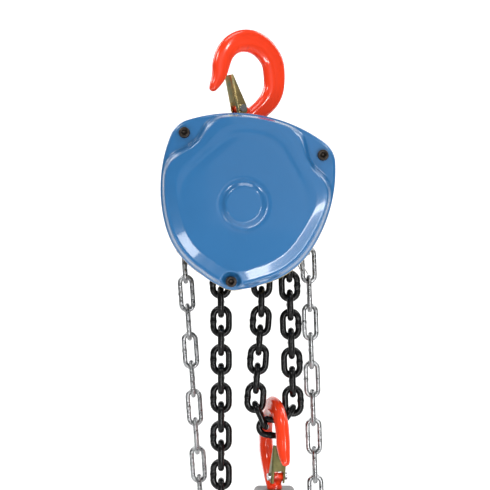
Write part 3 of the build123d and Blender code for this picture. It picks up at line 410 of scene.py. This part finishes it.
hooks = (("top_hook", TOP_TURN, (0, 0), 3.4), ("bottom_hook", BOTTOM_TURN, BOTTOM_HOOK, 0.0))
for node, turn, at, stout in hooks:
    finish_piece(hook_mesh(node + "_forging", turn, at, stout), node, node)


# ------------------------------------------------------------------ folded latches
def latch_mesh(name, turn, at):
    """A folded latch: a web with two bent-up flanges, narrowing towards the hook's tip."""
    along = (LATCH_TOP_U - LATCH_U, LATCH_TOP_V - LATCH_V)
    length = hypot(*along)
    lean = atan2(along[0], along[1])
    rows, gauge, half = 44, 1.25, 6.7
    outer = []
    for k in range(rows + 1):
        z = -5.0 + (length + 5.0) * k / rows
        f = max(0.0, (z - 2) / (length - 2))
        front = 5.2 - 7.0 * f - (1.6 * max(0, -(z + 2) / 3) ** 2)
        web = -5.2 + 1.0 * f
        bend = 2.2
        path = [(front, -half)]
        for q in range(7):
            b = pi / 2 * q / 6
            path.append((web + bend - bend * sin(b), -half + bend - bend * cos(b)))
        for q in range(7):
            b = pi / 2 * q / 6
            path.append((web + bend - bend * cos(b), half - bend + bend * sin(b)))
        path.append((front, half))
        outer.append([(x, y, z) for x, y in path])
    cols = len(outer[0])
    verts, faces = [], []
    for row in outer:
        verts += row
    for i in range(rows):
        for j in range(cols - 1):
            z = outer[i][j][2]
            if j == 7 and -5.0 <= z < 6.5:  # window at the foot of the web
                continue
            a = i * cols + j
            faces.append((a, a + 1, a + cols + 1, a + cols))
    c, s = cos(turn), sin(turn)
    cl, sl = cos(lean), sin(lean)
    placed = []
    for x, y, z in verts:
        u, v = LATCH_U + x * cl + z * sl, LATCH_V - x * sl + z * cl
        placed.append((at[0] + u * c - y * s, u * s + y * c, at[1] + v))
    obj = new_object(name, placed, faces)
    thick = obj.modifiers.new("gauge", "SOLIDIFY")
    thick.thickness = gauge * MM
    thick.offset = -1.0
    soft = obj.modifiers.new("edge", "BEVEL")
    soft.width = 0.25 * MM
    soft.segments = 2
    soft.limit_method = "ANGLE"
    return obj


for node, turn, at in (("top_latch", TOP_TURN, (0, 0)), ("bottom_latch", BOTTOM_TURN, BOTTOM_HOOK)):
    finish_piece(latch_mesh(node + "_folded", turn, at), node, node)


# ------------------------------------------------------------------ chains, link by link
def link_points(wire, pitch, width, lump, around=14):
    """One welded link about its own middle, long axis Z, with the weld's bead on its +X leg."""
    bend = (width - wire) / 2
    leg = pitch + wire - 2 * bend
    path = []
    for k in range(15):
        path.append((bend, -leg / 2 + leg * k / 14, 0.0))
    for k in range(1, 14):
        b = pi * k / 14
        path.append((bend * cos(b), leg / 2 + bend * sin(b), b))
    for k in range(8):
        path.append((-bend, leg / 2 - leg * k / 7, pi))
    for k in range(1, 14):
        b = pi + pi * k / 14
        path.append((bend * cos(b), -leg / 2 + bend * sin(b), b))
    verts = []
    for x, z, b in path:
        out = (1, 0) if abs(b) < 1e-9 else (cos(b), sin(b))
        r = wire / 2
        if x > bend - 1e-6:
            r += lump * math.exp(-(z / (0.20 * wire)) ** 2)
            r -= 0.35 * lump * math.exp(-((abs(z) - 0.62 * wire) / 0.8) ** 2)
        for j in range(around):
            q = 2 * pi * j / around
            verts.append((x + out[0] * r * cos(q), r * sin(q), z + out[1] * r * cos(q)))
    return np.array(verts), grid_faces(len(path), around, close_rows=True)


def heading(a):
    """Direction of a fall, in degrees from straight down towards +X."""
    return np.array([sin(radians(a)), 0.0, -cos(radians(a))])


def walk(start, angles, facing, flat, face):
    """Lays links one after another; returns each one's middle, heading and side, and where the row ends."""
    at, row = np.array(start, float), []
    for a in angles:
        length = face if facing else flat
        row.append((at + heading(a) * length / 2, a, facing))
        at = at + heading(a) * length
        facing = not facing
    return row, at


def joint_r(flat, face, pockets):
    """Radius of the chain's joints round a wheel with that many pockets."""
    t = pi / pockets
    return sqrt(flat ** 2 + face ** 2 + 2 * flat * face * cos(t)) / (2 * sin(t))


def wrap(pockets, y, face_r, flat_r, first, count):
    """Links over the top half of a wheel, from its left side."""
    row = []
    for i in range(count):
        facing = first if i % 2 == 0 else not first
        turn = 180 - i * 180 / pockets
        r = face_r if facing else flat_r
        centre = np.array([HUB_X + r * cos(radians(turn)), y, HUB_Z + r * sin(radians(turn))])
        row.append((centre, turn, facing))
    return row


LF, LA, HF, HA = 24.0, 11.6, 32.5, 22.9  # joint to joint: load and hand chain, flat and facing links
lj, hj = joint_r(LF, LA, 4), joint_r(HF, HA, 7)
lfr, lflr = sqrt(lj ** 2 - (LA / 2) ** 2), sqrt(lj ** 2 - (LF / 2) ** 2)
hfr, hflr = sqrt(hj ** 2 - (HA / 2) ** 2), sqrt(hj ** 2 - (HF / 2) ** 2)
sheave = wrap(4, 0, lfr, lflr, True, 5)
fall_fixed, at1 = walk((HUB_X - lfr, 0, HUB_Z - LA / 2), [1.0] * 5, False, LF, LA)
slack_fixed, at2 = walk((HUB_X + lfr, 0, HUB_Z - LA / 2), [-6.0, -6.0, -5.0, -2.0, -1.0], False, LF, LA)
fall, at1 = walk(at1, [0.0] * 12, True, LF, LA)
turned, at1 = walk(at1, [28.0, 58.0, 98.0], True, LF, LA)
ends, at1 = walk(at1, [180 - degrees(asin((BOTTOM_HOOK[0] - at1[0]) / LF)), 180.0], False, LF, LA)
slack, at2 = walk(at2, [-4.0] * 5, True, LF, LA)
bight, at2 = walk(at2, [25.0, 84.0, 145.0], False, LF, LA)
rising, at2 = walk(at2, [181.4, 181.6, 181.8, 181.8, 181.8, 181.8], True, LF, LA)
anchored, at2 = walk(at2, [181.6] * 3, True, LF, LA)
wheel = wrap(7, 51.0, hfr, hflr, False, 8)
lfix, at3 = walk((HUB_X - hflr, 51.0, HUB_Z - HF / 2), [3.9] * 2, True, HF, HA)
rfix, at4 = walk((HUB_X + hfr, 51.0, HUB_Z - HA / 2), [1.8] * 2, False, HF, HA)
left, at3 = walk(at3, [3.9] * 9, True, HF, HA)
right, at4 = walk(at4, [1.8] * 9, False, HF, HA)
low, at5 = walk(at3, [22.0, 50.0, 80.0, 110.0], False, HF, HA)
gap = at4 - at5
span = float(np.linalg.norm(gap))
first = degrees(atan2(gap[0], -gap[2])) - degrees(acos((HF ** 2 + span ** 2 - HA ** 2) / (2 * HF * span)))
rest = at4 - (at5 + heading(first) * HF)
closing, at5 = walk(at5, [first, degrees(atan2(rest[0], -rest[2]))], False, HF, HA)


def chain(name, rows, sizes, node, body_name):
    """Places a link at every row entry and makes them one piece."""
    verts0, faces0 = link_points(*sizes)
    verts, faces = [], []
    for centre, a, facing in rows:
        z = heading(a)
        across = np.cross(np.array([0.0, 1.0, 0.0]), z)
        roll = radians(0 if facing else 90)
        x = across * cos(roll) + np.array([0, 1.0, 0]) * sin(roll)
        y = np.cross(z, x)
        p = centre + verts0[:, :1] * x + verts0[:, 1:2] * y + verts0[:, 2:3] * z
        base = len(verts)
        verts += [tuple(q) for q in p]
        faces += [tuple(base + k for k in f) for f in faces0]
    finish_piece(new_object(name, verts, faces), node, body_name)


LOAD, HAND = (6.0, 18.0, 20.4, 0.4), (4.5, 28.0, 16.0, 0.35)  # wire, pitch, width, bead
on_sheave = sheave + fall_fixed + slack_fixed + anchored
chain("load_links_sheave", on_sheave, LOAD, "load_chain_on_sheave", "frame")
chain("load_links_fall", fall + turned + ends, LOAD, "load_chain_fall", "load_chain")
chain("load_links_slack", slack + bight + rising, LOAD, "load_chain_slack", "load_chain")
chain("hand_links_wheel", wheel + lfix + rfix, HAND, "hand_chain_on_wheel", "frame")
chain("hand_links_left", left + low[:3], HAND, "hand_chain_left", "hand_chain")
chain("hand_links_right", right + low[3:] + closing, HAND, "hand_chain_right", "hand_chain")


# ------------------------------------------------------------------ floor, backdrop, lights, camera
def studio():
    """A pale floor that curves up into the backdrop."""
    width, verts = 3.0, []
    profile = [(-2.6, -0.70)]
    bend = [pi / 2 * k / 12 for k in range(13)]
    profile += [(1.2 + 0.9 * sin(b), -0.70 + 0.9 * (1 - cos(b))) for b in bend]
    profile.append((2.1, 2.6))
    for x in (-width, width):
        verts += [(x * 1000, y * 1000, z * 1000) for y, z in profile]
    n = len(profile)
    faces = [(i, i + 1, n + i + 1, n + i) for i in range(n - 1)]
    obj = new_object("studio_sweep", verts, faces)
    mat = bpy.data.materials.new("studio_paper")
    mat.use_nodes = True
    nt = mat.node_tree
    b = nt.nodes["Principled BSDF"]
    b.inputs["Roughness"].default_value = 0.9
    noise = nt.nodes.new("ShaderNodeTexNoise")
    noise.inputs["Scale"].default_value = 3.0
    ramp = nt.nodes.new("ShaderNodeValToRGB")
    ramp.color_ramp.elements[0].color = (0.90, 0.90, 0.90, 1)
    ramp.color_ramp.elements[1].color = (0.94, 0.94, 0.94, 1)
    nt.links.new(noise.outputs[0], ramp.inputs["Fac"])
    nt.links.new(ramp.outputs["Color"], b.inputs["Base Color"])
    obj.data.materials.append(mat)


studio()
world = bpy.data.worlds.new("soft")
bpy.context.scene.world = world
world.use_nodes = True
world.node_tree.nodes["Background"].inputs["Color"].default_value = (1, 1, 1, 1)
world.node_tree.nodes["Background"].inputs["Strength"].default_value = 0.20


def softbox(name, at, target, size_x, size_y, watts, across=(1, 0, 0)):
    """A rectangular light facing a target, its first side laid along a wanted direction."""
    light = bpy.data.lights.new(name, "AREA")
    light.shape = "RECTANGLE"
    light.size, light.size_y, light.energy = size_x, size_y, watts
    obj = bpy.data.objects.new(name, light)
    z = (Vector(at) - Vector(target)).normalized()
    y = z.cross(Vector(across)).normalized()
    x = y.cross(z)
    obj.matrix_world = Matrix.Translation(Vector(at)) @ Matrix((x, y, z)).transposed().to_4x4()
    bpy.context.collection.objects.link(obj)


softbox("key", (-0.75, -0.9, 0.75), (0, 0, -0.15), 0.30, 0.30, 5.0)
softbox("band", (0.30, -0.82, -0.42), (0, 0, -0.17), 0.10, 0.62, 3.6, (0.75, 0, -0.66))
softbox("band_left", (-0.42, -0.80, -0.42), (0, 0, -0.17), 0.08, 0.20, 0.8, (-0.8, 0, -0.6))
softbox("upper_right", (0.70, -0.8, 0.55), (0, 0, -0.15), 0.20, 0.20, 2.6)
softbox("top", (0.1, -0.2, 0.9), (0, 0, -0.1), 0.7, 0.4, 3)
softbox("fill", (0.4, -1.5, 0.3), (0, 0, -0.2), 1.0, 1.0, 1.5)
softbox("backdrop_left", (-1.2, 0.7, 0.9), (0, 2.0, -0.1), 1.0, 1.0, 26)
softbox("backdrop_right", (1.2, 0.7, 0.9), (0, 2.0, -0.1), 1.0, 1.0, 26)

cam_data = bpy.data.cameras.new("camera")
cam_data.sensor_fit = "HORIZONTAL"
cam_data.sensor_width = 36.0
cam_data.angle = 2 * math.atan(455.7 / 2 / 1150)
cam = bpy.data.objects.new("camera", cam_data)
cam.location = (-0.0014, -1.150, -0.1809)
cam.rotation_euler = (pi / 2, 0, 0)
bpy.context.collection.objects.link(cam)
bpy.context.scene.camera = cam
bpy.context.scene.view_settings.view_transform = "Standard"
